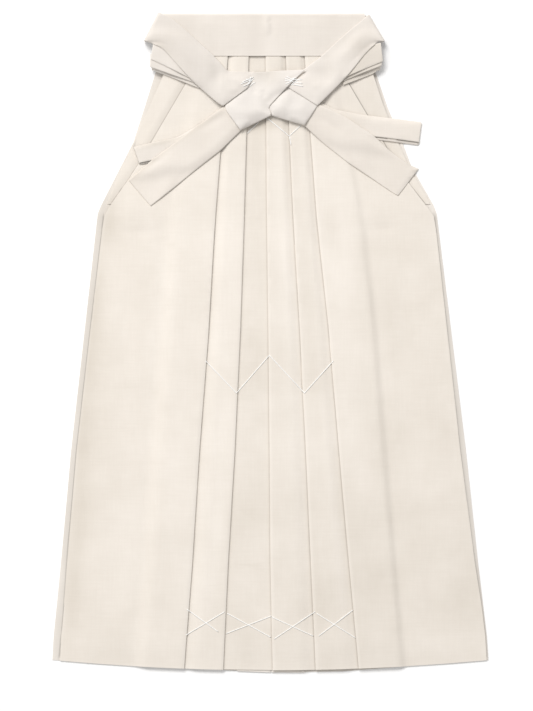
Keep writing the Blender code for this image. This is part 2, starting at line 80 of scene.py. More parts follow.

# Colours in linear light: each cloth where it is lightest and darkest, the painted highlight on edges,
# and the rest
FRONT_LIGHT = (0.865, 0.805, 0.735)
FRONT_DARK = (0.765, 0.705, 0.630)
# The band's, the ties' and the back's colours are a little darker than the front's, as painted shade
BAND_LIGHT = (0.810, 0.755, 0.695)
BAND_DARK = (0.715, 0.660, 0.600)
TIE_LIGHT = (0.825, 0.765, 0.700)
TIE_DARK = (0.735, 0.675, 0.605)
BACK_LIGHT = (0.835, 0.785, 0.725)
BACK_DARK = (0.755, 0.705, 0.645)
PAINTED_HIGHLIGHT = (0.90, 0.85, 0.79)
THREAD = (0.96, 0.96, 0.95)
GROUND = (0.95, 0.95, 0.95)

# The pale ground, which glows a little, and how far it lies under the solids. Its reach is in metres.
GROUND_REACH = 12.0
GROUND_DROP = 0.05
GROUND_GLOW = 0.05

# Lights: place and size in metres, energy. Then their colour, and the even room's.
LIGHTS = {
    "key": ((-2.75, 6.85, 8.2), 5.0, 850.0),
    "fill": ((-2.2, 1.0, 2.4), 1.2, 18.0),
}
LIGHT_COLOUR = (1.0, 0.992, 0.984)
ROOM_COLOUR = (1.0, 0.995, 0.99)
ROOM_STRENGTH = 0.50

# Panels and bands: node, cell, slot, cloth, what it rests on
PANELS = (
    ("back_left", BACK_CELL, "natural_cotton", "natural_cotton", "ground"),
    ("back_right", BACK_CELL, "natural_cotton", "natural_cotton", "back_left"),
    ("side_pleat_left", PANEL_CELL, "natural_cotton", "front_cotton", "back_left"),
    ("side_pleat_right", PANEL_CELL, "natural_cotton", "front_cotton", "back_right"),
    ("front_left", PANEL_CELL, "front_cotton", "front_cotton", "back_left"),
    ("front_right", PANEL_CELL, "front_cotton", "front_cotton", "back_right"),
    ("back_waistband", PANEL_CELL, "natural_cotton", "band_cotton", "ground"),
    ("front_waistband", PANEL_CELL, "front_cotton", "band_cotton", "back_waistband"),
)

# Starts of the names of the nodes that take part in the front's lift
LIFTED = ("front", "side_pleat")

# Cloths of the panels and bands: lightest and darkest colour, warp's direction in degrees, seed
PANEL_CLOTHS = {
    "front_cotton": (FRONT_LIGHT, FRONT_DARK, 90.0, 1.0),
    "band_cotton": (BAND_LIGHT, BAND_DARK, 0.0, 1.5),
    "natural_cotton": (BACK_LIGHT, BACK_DARK, 90.0, 2.0),
}
TIE_SEED = 3.0

# Ties: node, direction of its length in degrees, what it rests on
TIES = (
    ("wrap_left_inner", -21.0, "front_left"),
    ("wrap_left_middle", -21.0, "wrap_left_inner"),
    ("wrap_left_outer", -21.0, "wrap_left_middle"),
    ("wrap_right_inner", 21.0, "front_right"),
    ("wrap_right_middle", 21.0, "wrap_right_inner"),
    ("wrap_right_outer", 21.0, "wrap_right_middle"),
    ("loop_left", 21.0, "front_left"),
    ("loop_right", -10.0, "front_right"),
    ("tail_left", 42.0, "loop_left"),
    ("tail_right", -40.0, "loop_right"),
    ("knot_right", -60.0, "tail_right"),
    ("tie_right", 45.0, "knot_right"),
    ("knot_left", 45.0, "tie_right"),
    ("tie_left", -45.0, "knot_left"),
)

# Where one layer's edge lies on the next, as pairs of height and x down the garment, and the hem's
# curve. The pairs are measured from the middle of the photograph, which lies at the origin given here.
ORIGIN = (1.0, -0.19)
SIDE_SEAM_LEFT = ((186.0, -249.0), (-160.0, -289.0), (-323.0, -303.0), (-418.0, -309.0), (-474.0, -314.0))
SIDE_SEAM_RIGHT = ((186.0, 243.5), (-160.0, 281.5), (-323.0, 302.5), (-418.0, 316.0), (-474.0, 321.0))
SIDE_PLEAT_LEFT = (
    (426.0, -103.0), (386.0, -126.0), (309.0, -171.5), (266.0, -196.5), (242.0, -212.0), (202.0, -241.0),
)
SIDE_PLEAT_RIGHT = (
    (426.0, 90.0), (386.0, 114.5), (309.0, 160.5), (266.0, 186.0), (242.0, 200.0), (202.0, 232.5),
)
FOLD_ONE = (
    (426.0, -64.0), (182.0, -83.0), (19.0, -92.5), (-175.0, -107.5), (-323.0, -116.5), (-484.0, -129.0),
)
FOLD_TWO = ((426.0, -33.0), (182.0, -40.0), (19.0, -45.5), (-175.0, -54.5), (-323.0, -63.5), (-484.0, -71.0))
FOLD_THREE = ((426.0, -8.0), (182.0, -6.0), (19.0, -4.0), (-175.0, -2.0), (-323.0, -1.0), (-484.0, 2.5))
FOLD_FOUR = ((426.0, 22.0), (182.0, 33.5), (19.0, 43.0), (-175.0, 52.5), (-323.0, 59.0), (-484.0, 66.5))
FOLD_FIVE = ((426.0, 50.0), (182.0, 68.5), (19.0, 86.0), (-175.0, 102.5), (-323.0, 115.5), (-484.0, 130.5))
LOOP_END = ((290.5, -203.6), (269.3, -195.7))
HEM_RISE = 15.0
HEM_HALF_WIDTH = 325.0
HEM_CURVE_START = -300.0
HEM_LOW = -487.5

# Painted shade under the edges of upper layers, as dark lines painted on the lower layer where the
# edge's shadow falls: its node, the line, the side where it shows, how dark the line is painted, how
# dark the cloth beside it is painted, and how far that reaches
PAINTED_CREVICE_SHADES = (
    ("back_left", SIDE_SEAM_LEFT, -1.0, 0.85, 0.18, 11.0),
    ("back_right", SIDE_SEAM_RIGHT, 1.0, 0.6, 0.35, 14.0),
    ("side_pleat_left", SIDE_PLEAT_LEFT, -1.0, 0.85, 0.3, 14.0),
    ("side_pleat_right", SIDE_PLEAT_RIGHT, 1.0, 1.0, 0.1, 8.0),
    ("side_pleat_left", LOOP_END, -1.0, 0.7, 0.05, 4.0),
    ("front_left", FOLD_ONE, 1.0, 0.35, 0.1, 5.0),
    ("front_left", FOLD_TWO, 1.0, 0.35, 0.1, 5.0),
    ("front_left", FOLD_THREE, -1.0, 0.45, 0.05, 5.0),
    ("front_right", FOLD_FOUR, -1.0, 0.6, 0.05, 5.0),
    ("front_right", FOLD_FIVE, -1.0, 0.6, 0.05, 5.0),
)

# Where a painted shade line's two sides lie, and how far it goes on past its ends
CREVICE_NEAR = 1.0
CREVICE_FAR = 2.4
CREVICE_PAST_HEM = 20.0
CREVICE_PAST_TOP = 4.0

# Painted shade in the gap between a loop's two layers, where the lower layer is painted dark: start,
# end, half width, and the height at both ends under which cloth counts as the lower layer
PAINTED_LOOP_GAP_SHADES = {
    "loop_left": ((-197.0, 263.0), (-172.0, 275.0), 6.0, 6.5, 6.5),
    "loop_right": ((152.7, 306.6), (221.1, 297.6), 1.9, 7.2, 3.0),
}

# Soft lighter and darker places of the front's cloth: partly the cloth's own random tone, and partly
# painted light and painted shade, lighter towards the left, darker towards the right and the hem, in the
# strips that lie under folds, along the left edge and under the knot. Centre, half sizes, clockwise tilt
# in degrees, and amount, where 1 is the step from the darkest to the lightest colour
TONES_WITH_PAINTED_LIGHT_AND_SHADE = (
    (-150.0, 90.0, 95.0, 250.0, 3.0, 0.04),
    (-205.0, -330.0, 120.0, 190.0, 0.0, -0.06),
    (-70.0, 20.0, 19.0, 420.0, 2.0, 0.10),
    (-98.0, -330.0, 22.0, 170.0, 4.0, 0.24),
    (-20.0, 120.0, 15.0, 300.0, 0.0, -0.48),
    (-31.0, -340.0, 17.0, 150.0, 0.0, -0.45),
    (66.0, -330.0, 11.0, 150.0, -6.0, -0.40),
    (98.0, -290.0, 9.0, 190.0, -6.0, 0.55),
    (92.0, 165.0, 14.0, 42.0, -6.0, -0.6),
    (-242.0, 185.0, 17.0, 38.0, 0.0, -0.9),
    (-262.0, 70.0, 14.0, 110.0, 2.0, -0.65),
    (-279.0, -150.0, 15.0, 190.0, 3.0, -0.85),
    (-297.0, -385.0, 14.0, 90.0, 3.0, -0.55),
    (-137.0, -180.0, 22.0, 70.0, 0.0, 0.45),
    (262.0, -262.0, 32.0, 52.0, 0.0, 0.4),
    (230.0, -455.0, 100.0, 32.0, 0.0, 0.35),
    (-74.0, -274.0, 10.0, 52.0, 4.0, 0.4),
    (-40.0, -60.0, 11.0, 330.0, 2.0, -0.25),
    (135.0, -205.0, 24.0, 60.0, -6.0, 0.4),
    (-12.0, 326.0, 42.0, 11.0, 0.0, -1.3),
    (-150.0, -235.0, 60.0, 50.0, 0.0, 0.25),
    (28.0, 70.0, 13.0, 300.0, -4.0, 0.36),
    (56.0, 60.0, 14.0, 240.0, -6.0, -0.38),
    (100.0, 130.0, 22.0, 190.0, -6.0, 0.30),
    (225.0, -340.0, 150.0, 200.0, 0.0, -0.45),
    (120.0, -420.0, 90.0, 110.0, 0.0, -0.20),
    (215.0, 60.0, 40.0, 150.0, -8.0, -0.15),
    (-228.0, 160.0, 34.0, 60.0, 0.0, -0.35),
    (-150.0, 330.0, 60.0, 90.0, 0.0, -0.30),
    (140.0, 330.0, 60.0, 90.0, 0.0, -0.30),
    (-190.0, 30.0, 12.0, 90.0, 0.0, -0.15),
    (-255.0, -120.0, 14.0, 150.0, 4.0, -0.18),
    (182.0, -10.0, 10.0, 80.0, -5.0, -0.18),
    (112.0, 480.0, 42.0, 16.0, 0.0, -0.35),
    (-130.0, 472.0, 30.0, 18.0, 0.0, -0.4),
)

# Painted shade on single ties, in the same form: darker on the knot's top, on parts of the upper ties
# and along the upper edges of tails and loops
TIE_PAINTED_SHADE_PATCHES = {
    "tie_left": (
        (-156.0, 450.0, 45.0, 42.0, 0.0, -0.5),
        (-167.0, 432.0, 17.0, 17.0, 0.0, -0.6),
    ),
    "tie_right": (
        (144.0, 438.0, 18.0, 20.0, 0.0, -0.8),
        (104.0, 452.0, 26.0, 20.0, 0.0, -0.4),
    ),
    "knot_left": ((-8.0, 398.0, 34.0, 18.0, 0.0, -1.1),),
    "tail_left": (
        (-101.0, 327.0, 50.0, 4.5, -33.7, -1.0),
        (-172.0, 272.5, 60.0, 4.5, -40.2, -1.0),
    ),
    "loop_left": ((-168.5, 297.0, 46.0, 4.5, -12.3, -1.0),),
}

# Soft creases of the whole front: start, end, half width, height above the lifted cloth
FRONT_CREASES = (
    (-231.0, 168.5, -203.0, 163.0, 5.0, -0.8),
    (-206.0, 163.0, -176.0, 163.5, 6.5, -0.9),
    (-180.0, 163.5, -155.0, 168.0, 6.0, -0.55),
    (-211.0, 233.0, -222.0, 212.0, 5.0, -0.8),
    (-222.0, 212.0, -234.0, 190.0, 6.0, -0.7),
    (131.0, 232.0, 147.0, 72.0, 6.0, -1.0),
    (153.0, 168.0, 188.0, 170.0, 6.5, -0.8),
    (208.0, 180.0, 237.0, 187.0, 5.0, -0.8),
    (-165.0, -376.0, -158.0, -442.0, 9.0, -0.45),
    (-236.0, -300.0, -228.0, -420.0, 11.0, -0.35),
    (188.0, -420.0, 197.0, -466.0, 8.0, -0.5),
    (236.0, -330.0, 243.0, -452.0, 11.0, -0.35),
    (-214.0, 90.0, -221.0, -60.0, 13.0, -0.35),
    (-160.0, 120.0, -168.0, -110.0, 15.0, -0.3),
    (196.0, 110.0, 204.0, -40.0, 13.0, -0.35),
)

# Share of its length over which a crease fades at each end
CREASE_ENDS = 0.35

# The front's lift over its solids, which fades towards its sides, hem and top. The sides are given as
# heights on the garment and rough half widths there, hem and top as height and length of the fade.
FRONT_LIFT = 1.1
LIFT_EDGE = 45.0
LIFT_HEM = (-484.0, 40.0)
LIFT_TOP = (487.0, 20.0)
HALF_WIDTHS = ((-488.0, 190.0, 426.0, 489.0), (318.0, 245.0, 165.0, 165.0))

# Soft waves and small dents of that lift, and the grid they are read from, up to its last cell
NOISE_REACH = (360.0, 510.0)
NOISE_STEP = 6.0
NOISE_LAST = 1.001
WAVE_ACROSS = 62.0
WAVE_ALONG = 210.0
WAVE_HEIGHT = 0.42
WAVE_SEED = 3.7
DENT_SIZE = 34.0
DENT_HEIGHT = 0.16
DENT_SEED = 8.2

# Where a tie's upper layer begins to take part in the front's lift, and the height over which it does
TIE_LIFT_START = 2.0
TIE_LIFT_RANGE = 4.0

# Soft domes of the knot, common to all tie layers there: centre, half sizes, anticlockwise tilt in
# degrees, and height
KNOT_DOMES = (
    (-27.0, 364.0, 46.0, 42.0, 42.0, 1.8),
    (33.0, 364.0, 46.0, 40.0, -30.0, 1.6),
)
DOME_FULLNESS = 1.6

# Wrinkles of single ties: start, end, half width, height
TIE_CREASES = {
    "tie_left": (
        (-150.0, 455.0, -95.0, 402.0, 7.0, 0.5),
        (-128.0, 446.0, -80.0, 400.0, 5.0, -0.35),
        (-58.0, 392.0, -36.0, 384.0, 5.0, 0.6),
        (-70.0, 378.0, -44.0, 374.0, 4.5, 0.5),
    ),
    "tie_right": (
        (142.0, 458.0, 100.0, 417.0, 7.0, 0.5),
        (124.0, 450.0, 84.0, 414.0, 6.0, -0.35),
        (80.0, 388.0, 58.0, 376.0, 5.0, 0.5),
    ),
    "knot_left": (
        (-27.0, 384.0, -21.0, 368.0, 3.0, -0.9),
        (-10.0, 377.0, -8.0, 362.0, 3.0, -0.9),
        (-19.0, 382.0, -14.0, 360.0, 3.5, 0.7),
        (-60.0, 352.0, -36.0, 336.0, 7.0, 0.4),
        (8.0, 398.0, -4.0, 380.0, 4.0, 0.5),
    ),
    "knot_right": (
        (8.0, 368.0, 20.0, 358.0, 3.0, 0.8),
        (4.0, 362.0, 12.0, 346.0, 3.0, -0.6),
        (58.0, 356.0, 34.0, 342.0, 6.0, 0.5),
    ),
    "tail_left": (
        (-66.0, 351.0, -98.0, 334.0, 5.0, 1.9),
        (-62.0, 341.0, -112.0, 312.0, 6.5, -0.9),
        (-130.0, 283.0, -180.0, 236.0, 12.0, 0.3),
    ),
    "tail_right": (
        (70.0, 356.0, 101.0, 343.0, 5.0, 1.9),
        (62.0, 341.0, 112.0, 309.0, 6.5, -0.9),
        (128.0, 290.0, 186.0, 246.0, 12.0, 0.3),
    ),
    "loop_left": (
        (-60.0, 345.0, -112.0, 312.0, 5.0, 0.6),
        (-112.0, 306.0, -160.0, 290.0, 6.0, 0.4),
    ),
    "loop_right": (
        (60.0, 352.0, 110.0, 336.0, 5.0, 0.6),
        (118.0, 330.0, 190.0, 318.0, 7.0, 0.3),
    ),
}

# How light and how warm each tie's cloth is painted, as a factor of its colours, by the start of the
# node's name. Its lightness from tie to tie is painted shade and painted light.
TIE_PAINTED_SHADE_FACTORS = {
    "wrap_left": (0.935, 0.945, 0.96),
    "wrap_right": (0.92, 0.92, 0.91),
    "tie_left": (0.945, 0.955, 0.975),
    "loop_left": (0.955, 0.96, 0.965),
    "tie_right": (0.99, 1.0, 1.02),
    "knot": (1.0, 1.02, 1.055),
}

# How the edges of the bow settle on what is under them: how far in, how deep, and up to which height
# on the garment they settle in full. Above it only a share of that is left, after a fade. A gap stays
# between the two cloths, and the room is shared out in rounds, with some slack.
SETTLING = (
    "loop_left", "loop_right", "tail_left", "tail_right", "knot_right", "tie_right", "knot_left", "tie_left",
)
SETTLE_FORM = (14.0, 3.0, 600.0)
SETTLE_FORMS = {"knot_left": (20.0, 5.0, 382.0), "knot_right": (18.0, 4.5, 382.0)}
SETTLE_FADE = 16.0
SETTLE_TOP = 0.4
SETTLE_GAP = 1.1
SETTLE_ROUNDS = 10
SETTLE_SLACK = 0.3
SETTLE_START = 0.5

# A point is on a shell's outline where its normal is less upright than this, and no cloth of the
# shell is found this far outside it
OUTLINE_NORMAL = 0.8
OUTLINE_STEP = 1.5

# Where the bow's cloth is pulled down into the knot, or swells up where negative: x, y, radius, depth
PULLED = {
    "tie_left": ((-21.0, 404.0, 25.0, 3.7), (-25.0, 391.0, 16.0, 1.2)),
    "knot_left": ((1.0, 343.0, 16.0, 0.8),),
    "knot_right": ((3.0, 347.0, 26.0, -5.0), (15.0, 366.0, 22.0, -3.0)),
}

# Soft wrinkles of the front waistband: start, end, half width, height
BAND_CREASES = (
    (-6.0, 492.0, -4.0, 452.0, 4.5, 1.5),
    (1.0, 490.0, 2.0, 450.0, 4.0, -0.9),
    (-100.0, 492.0, -92.0, 440.0, 7.0, 0.35),
    (66.0, 488.0, 74.0, 440.0, 7.0, 0.4),
)

# Basting threads over the pleats, and short ends that stick out at the knot, each as one line
BASTING = {
    "basting_middle": (
        ((-96.2, -27.6), (-50.3, -75.4), (-1.4, -19.2), (50.8, -75.4), (93.6, -27.6)),
    ),
    "basting_upper": (
        ((-17.0, 328.5), (-34.7, 310.6)),
        ((-5.0, 334.0), (28.2, 306.9), (45.5, 323.0)),
        ((28.6, 306.0), (30.7, 293.5)),
    ),
    "basting_hem": (
        ((-123.9, -397.1), (-77.5, -430.4)),
        ((-124.9, -435.1), (-68.0, -400.6)),
        ((-64.4, -403.0), (0.7, -438.7)),
        ((-65.6, -433.2), (1.9, -407.0)),
        ((2.5, -408.5), (64.0, -436.9)),
        ((6.1, -440.9), (66.4, -400.6)),
        ((68.8, -403.0), (126.9, -439.7)),
        ((72.4, -436.3), (122.9, -398.3)),
    ),
}
TUFTS = {
    "basting_knot": (
        ((-43.6, 383.5), (-30.0, 389.0), (-24.3, 391.6)),
        ((-40.0, 380.0), (-31.7, 384.2), (-26.0, 391.0)),
        ((-36.0, 391.0), (-27.3, 387.9)),
        ((-41.5, 386.5), (-33.0, 390.5), (-25.0, 394.0)),
        ((-34.0, 381.5), (-30.5, 388.0), (-29.0, 394.5)),
        ((-31.0, 379.0), (-26.5, 384.5), (-22.5, 386.0)),
        ((21.8, 391.6), (34.0, 386.5), (47.1, 384.2)),
        ((21.8, 387.9), (33.0, 389.5), (47.1, 390.1)),
        ((30.0, 381.5), (37.0, 387.0), (44.1, 391.6)),
        ((24.0, 394.5), (31.0, 391.0), (39.0, 392.5)),
        ((33.0, 383.0), (41.0, 381.5), (48.5, 380.0)),
        ((22.5, 383.5), (29.5, 386.0), (35.5, 392.0)),
    ),
}

# A thread's size, how much its plies stand out, how far they turn from point to point, in radians,
# and how high its middle lies over the cloth, as a share of the radius
THREAD_RADIUS = 0.62
THREAD_STEP = 2.5
THREAD_SIDES = 8
THREAD_PLIES = 0.12
THREAD_TWIST = 1.7
THREAD_RISE = 0.6

# The twist that shows on a thread: its pitch, its shade, and its relief
THREAD_PITCH = 1.1
THREAD_DARK = 0.94
THREAD_ROUGHNESS = (0.0, 1.0, 0.6, 0.75)
TWIST_STRENGTH = 0.5
TWIST_DEPTH = 0.15

# Heights from which the cloth is looked for, from above and from below
CAST_HEIGHT = 100.0
CAST_DEPTH = -1.0
UP = Vector((0.0, 0.0, 1.0))
DOWN = Vector((0.0, 0.0, -1.0))

# Weave, and what yarns, fuzz and thick yarns add to its relief. A wave texture of scale 1 has a band
# every 2 pi / 20 metres.
BAND_PERIOD = 2.0 * math.pi / 20.0
YARN_PITCH = 0.55
YARN_WANDER = 0.6
WEAVE_DEPTH = 0.12
WEAVE_STRENGTH = 0.35
FUZZ_SHARE = 0.5
SLUB_SHARE = 0.8

# Clouds of the cloth: scale, detail and roughness of a noise. Slubs are thick yarns, whose noise is
# stretched to one scale across the yarn and another along it.
MOTTLE = (11.0, 4.0, 0.55)
FUZZ = (900.0, 2.0, 0.6)
SLUBS = (1.0, 2.0, 0.5)
SLUB_FINE = 420.0
SLUB_LONG = 28.0

# What the clouds do to tone and roughness: range of the cloud, and range of its effect
MOTTLE_TONE = (0.34, 0.66, 0.22, 0.80)
SLUB_TONE = (0.12, 0.40, -0.1, 0.12)
MOTTLE_ROUGHNESS = (0.3, 0.7, 0.80, 0.90)
SLUB_ROUGHNESS = (0.12, 0.40, 0.0, 0.06)

# How much of their colour the painted shade in crevices and the painted highlight on edges take on,
# and how dark the painted shade's colour is
PAINTED_SHADE_STRENGTH = 0.8
PAINTED_SHADE_DARK = 0.5
PAINTED_HIGHLIGHT_STRENGTH = 0.18

# Where a cloth's clouds are read, for each unit of its seed, so that no two cloths are alike
SEED_STEP = (0.37, 0.19, 0.11)

# Inputs of the shaders
COTTON_SURFACE = {
    "Metallic": 0.0,
    "IOR": 1.45,
    "Specular IOR Level": 0.25,
    "Sheen Weight": 0.12,
    "Sheen Roughness": 0.45,
    "Sheen Tint": (1.0, 0.97, 0.93, 1.0),
}
THREAD_SURFACE = {"Specular IOR Level": 0.3, "Sheen Weight": 0.3, "Sheen Roughness": 0.4}
GROUND_SURFACE = {
    "Base Color": (*GROUND, 1.0),
    "Roughness": 0.95,
    "Specular IOR Level": 0.1,
    "Emission Color": (*GROUND, 1.0),
    "Emission Strength": GROUND_GLOW,
}

# Places of the colours and of the result among a mix node's sockets
MIX_COLOURS = (6, 7)
MIX_RESULT = 2


def ease(value):
    """0 to 1 with soft ends, for numbers or arrays."""
    value = np.clip(value, 0.0, 1.0)
    return value * value * (3.0 - 2.0 * value)


def crease_height(row, x, y):
    """One soft ridge or trough, fading at both ends."""
    x0, y0, x1, y1, width, height = row
    length = math.dist((x0, y0), (x1, y1))
    step_x, step_y = (x1 - x0) / length, (y1 - y0) / length
    along = (x - x0) * step_x + (y - y0) * step_y
    across = (y - y0) * step_x - (x - x0) * step_y
    fade = CREASE_ENDS * length
    ends = ease(along / fade) * ease((length - along) / fade)
    return height * ends * np.exp(-((across / width) ** 2))


def dome_height(row, x, y):
    """One soft swelling of the knot."""
    middle_x, middle_y, wide, high, angle, height = row
    turn = math.radians(angle)
    dx, dy = x - middle_x, y - middle_y
    u = (dx * math.cos(turn) + dy * math.sin(turn)) / wide
    v = (dy * math.cos(turn) - dx * math.sin(turn)) / high
    inside = np.clip(1.0 - np.hypot(u, v), 0.0, 1.0)
    return height * ease(DOME_FULLNESS * inside)


def noise_sheet(across, along, seed):
    """A soft random height on a grid, read between its cells."""
    reach_x, reach_y = NOISE_REACH
    xs = np.arange(-reach_x, reach_x + NOISE_STEP / 2.0, NOISE_STEP)
    ys = np.arange(-reach_y, reach_y + NOISE_STEP / 2.0, NOISE_STEP)
    grid = np.array([[noise.noise(Vector((x / across, y / along, seed))) for x in xs] for y in ys])

    def read(x, y):
        column = np.clip((x + reach_x) / NOISE_STEP, 0.0, len(xs) - NOISE_LAST)
        row = np.clip((y + reach_y) / NOISE_STEP, 0.0, len(ys) - NOISE_LAST)
        left, low = column.astype(int), row.astype(int)
        u, v = column - left, row - low
        near = grid[low, left] * (1.0 - u) + grid[low, left + 1] * u
        far = grid[low + 1, left] * (1.0 - u) + grid[low + 1, left + 1] * u
        return near * (1.0 - v) + far * v

    return read


waves = noise_sheet(WAVE_ACROSS, WAVE_ALONG, WAVE_SEED)
dents = noise_sheet(DENT_SIZE, DENT_SIZE, DENT_SEED)


def front_lift(x, y):
    """How far the front's layers stand over their solids: never less than nothing."""
    (hem, hem_fade), (top, top_fade) = LIFT_HEM, LIFT_TOP
    from_side = np.interp(y, *HALF_WIDTHS) - np.abs(x)
    room = ease(from_side / LIFT_EDGE) * ease((y - hem) / hem_fade) * ease((top - y) / top_fade)
    height = FRONT_LIFT + WAVE_HEIGHT * waves(x, y) + DENT_HEIGHT * dents(x, y)
    for row in FRONT_CREASES:
        height = height + crease_height(row, x, y)
    return np.maximum(height, 0.0) * room


def knot_lift(x, y):
    """How far all tie layers stand over their solids at the knot."""
    height = np.zeros_like(x)
    for row in KNOT_DOMES:
        height = np.maximum(height, dome_height(row, x, y))
    return height


def node_shape(node, join_angle):
    """A node's form, with its triangles joined into four-sided faces where they are flat enough."""
    shape = bmesh.new()
    shape.from_mesh(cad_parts[node].data)
    bmesh.ops.remove_doubles(shape, verts=shape.verts, dist=MERGE_DISTANCE * MM)
    bmesh.ops.join_triangles(
        shape, faces=shape.faces, angle_face_threshold=join_angle, angle_shape_threshold=JOIN_SKEW
    )
    return shape


def cut_to_cells(shape, cell):
    """Halves long edges until none is longer than a cell."""
    for _ in range(HALVINGS):
        long_edges = [edge for edge in shape.edges if edge.calc_length() > cell * MM]
        if not long_edges:
            return
        bmesh.ops.subdivide_edges(shape, edges=long_edges, cuts=1, use_grid_fill=True)


def mark_rims(shape):
    """Creases the edges of the wall, so that they stay crisp when it is smoothed."""
    creases = shape.edges.layers.float
    layer = creases.get("crease_edge") or creases.new("crease_edge")
    for edge in shape.edges:
        if len(edge.link_faces) == 2 and edge.calc_face_angle() > RIM_ANGLE:
            edge[layer] = RIM_CREASE


def line_points(line):
    """A line of the tables in this frame, with the hem's curve, as x and y columns from the hem up."""
    points = []
    for y, x in reversed(line):
        share = ease((HEM_CURVE_START - y) / (HEM_CURVE_START - HEM_LOW))
        curve = share * HEM_RISE * (x / HEM_HALF_WIDTH) ** 2
        points.append((x + ORIGIN[0], y + curve + ORIGIN[1]))
    return np.array(points)


def cut_along(shape, line, offset):
    """Cuts a shape straight down along a line moved sideways, so that points lie on it."""
    points = line_points(line) * MM
    points[:, 0] += offset * MM
    for (x0, y0), (x1, y1) in zip(points, points[1:]):
        faces = []
        for face in shape.faces:
            heights = [vertex.co.y for vertex in face.verts]
            if min(heights) < y1 and max(heights) > y0:
                faces.append(face)
        geometry = set(faces)
        for face in faces:
            geometry.update(face.edges)
            geometry.update(face.verts)
        direction = Vector((x1 - x0, y1 - y0, 0.0))
        bmesh.ops.bisect_plane(
            shape, geom=list(geometry), dist=CUT_DISTANCE * MM, plane_co=(x0, y0, 0.0),
            plane_no=direction.cross(UP).normalized(),
        )


def cut_for_painted_shade(shape, node):
    """Puts points on both sides of each line of painted shade of a node."""
    for target, line, side, _, _, reach in PAINTED_CREVICE_SHADES:
        if target == node:
            for offset in (CREVICE_NEAR, CREVICE_FAR, reach):
                cut_along(shape, line, side * offset)


def mark(mesh, name, value):
    """Stores a value at each point of a mesh, for its cloth to read."""
    attribute = mesh.attributes.new(name, "FLOAT", "POINT")
    attribute.data.foreach_set("value", value)


def mark_tones_and_painted_light(mesh, points, rows):
    """Marks where a mesh's cloth is painted lighter or darker, as random tone and as painted light and
    shade.
    """
    value = np.zeros(len(points))
    for x, y, wide, high, tilt, amount in rows:
        turn = math.radians(tilt)
        dx, dy = points[:, 0] - x, points[:, 1] - y
        u = (dx * math.cos(turn) - dy * math.sin(turn)) / wide
        v = (dy * math.cos(turn) + dx * math.sin(turn)) / high
        value += amount * np.exp(-(u ** 2) - v ** 2)
    mark(mesh, "tone", value)


def mark_painted_crevice_shade(mesh, points, node):
    """Marks how dark each point is painted, as painted shade under the edge of an upper layer."""
    value = np.zeros(len(points))
    x, y = points[:, 0], points[:, 1]
    for target, line, side, dark, soft, reach in PAINTED_CREVICE_SHADES:
        if target != node:
            continue
        xs, ys = line_points(line).T
        away = side * (x - np.interp(y, ys, xs))
        on_line = (y > ys[0] - CREVICE_PAST_HEM) & (y < ys[-1] + CREVICE_PAST_TOP)
        beside = on_line & (away > CREVICE_NEAR / 2.0)
        soft_shade = np.interp(away, (CREVICE_FAR, reach), (soft, 0.0))
        shade = np.where(away < (CREVICE_NEAR + CREVICE_FAR) / 2.0, dark, soft_shade)
        value = np.maximum(value, np.where(beside, shade, 0.0))
    mark(mesh, "painted_crevice_shade", value)


def paint_loop_gap_shade(mesh, points, node):
    """Paints shade on the lower layer of a loop where it shows under the upper one."""
    (x0, y0), (x1, y1), half, start_under, end_under = PAINTED_LOOP_GAP_SHADES[node]
    length = math.dist((x0, y0), (x1, y1))
    along = ((points[:, 0] - x0) * (x1 - x0) + (points[:, 1] - y0) * (y1 - y0)) / length
    across = ((points[:, 1] - y0) * (x1 - x0) - (points[:, 0] - x0) * (y1 - y0)) / length
    under = start_under + (end_under - start_under) * along / length
    inside = (along > 0.0) & (along < length) & (np.abs(across) < half) & (points[:, 2] < under)
    mark(mesh, "painted_crevice_shade", inside.astype(float))


def mark_painted_highlight(mesh):
    """Marks folds and edges with 1, where the cloth gets a painted highlight."""
    shape = bmesh.new()
    shape.from_mesh(mesh)
    painted_highlight = np.zeros(len(mesh.vertices))
    for edge in shape.edges:
        if len(edge.link_faces) == 2 and edge.calc_face_angle() > PAINTED_HIGHLIGHT_ANGLE:
            for vertex in edge.verts:
                painted_highlight[vertex.index] = 1.0
    shape.free()
    mark(mesh, "painted_highlight", painted_highlight)


def new_object(name, mesh):
    """A mesh object in the scene."""
    thing = bpy.data.objects.new(name, mesh)
    bpy.context.scene.collection.objects.link(thing)
    return thing


def mesh_of(shape, name):
    """Turns a shape into a mesh, and frees it."""
    mesh = bpy.data.meshes.new(name)
    shape.to_mesh(mesh)
    shape.free()
    return mesh


def smoothed(shape, name, levels):
    """Subdivides a shape smoothly and returns the finished mesh."""
    mark_rims(shape)
    mesh = mesh_of(shape, name)
    thing = new_object(name, mesh)
    soft = thing.modifiers.new("soft", "SUBSURF")
    soft.levels = levels
    soft.render_levels = levels
    bpy.context.view_layer.update()
    seen = thing.evaluated_get(bpy.context.evaluated_depsgraph_get())
    final = bpy.data.meshes.new_from_object(seen)
    bpy.data.objects.remove(thing)
    bpy.data.meshes.remove(mesh)
    return final


def points_of(mesh):
    """A mesh's points in millimetres."""
    points = np.empty(len(mesh.vertices) * 3)
    mesh.vertices.foreach_get("co", points)
    return points.reshape(-1, 3) / MM


def set_points(mesh, points):
    """Puts points in millimetres back into a mesh."""
    mesh.vertices.foreach_set("co", (points * MM).ravel())
    mesh.update()


def shade_smooth(mesh):
    """Smooth shading over all faces."""
    mesh.polygons.foreach_set("use_smooth", [True] * len(mesh.polygons))


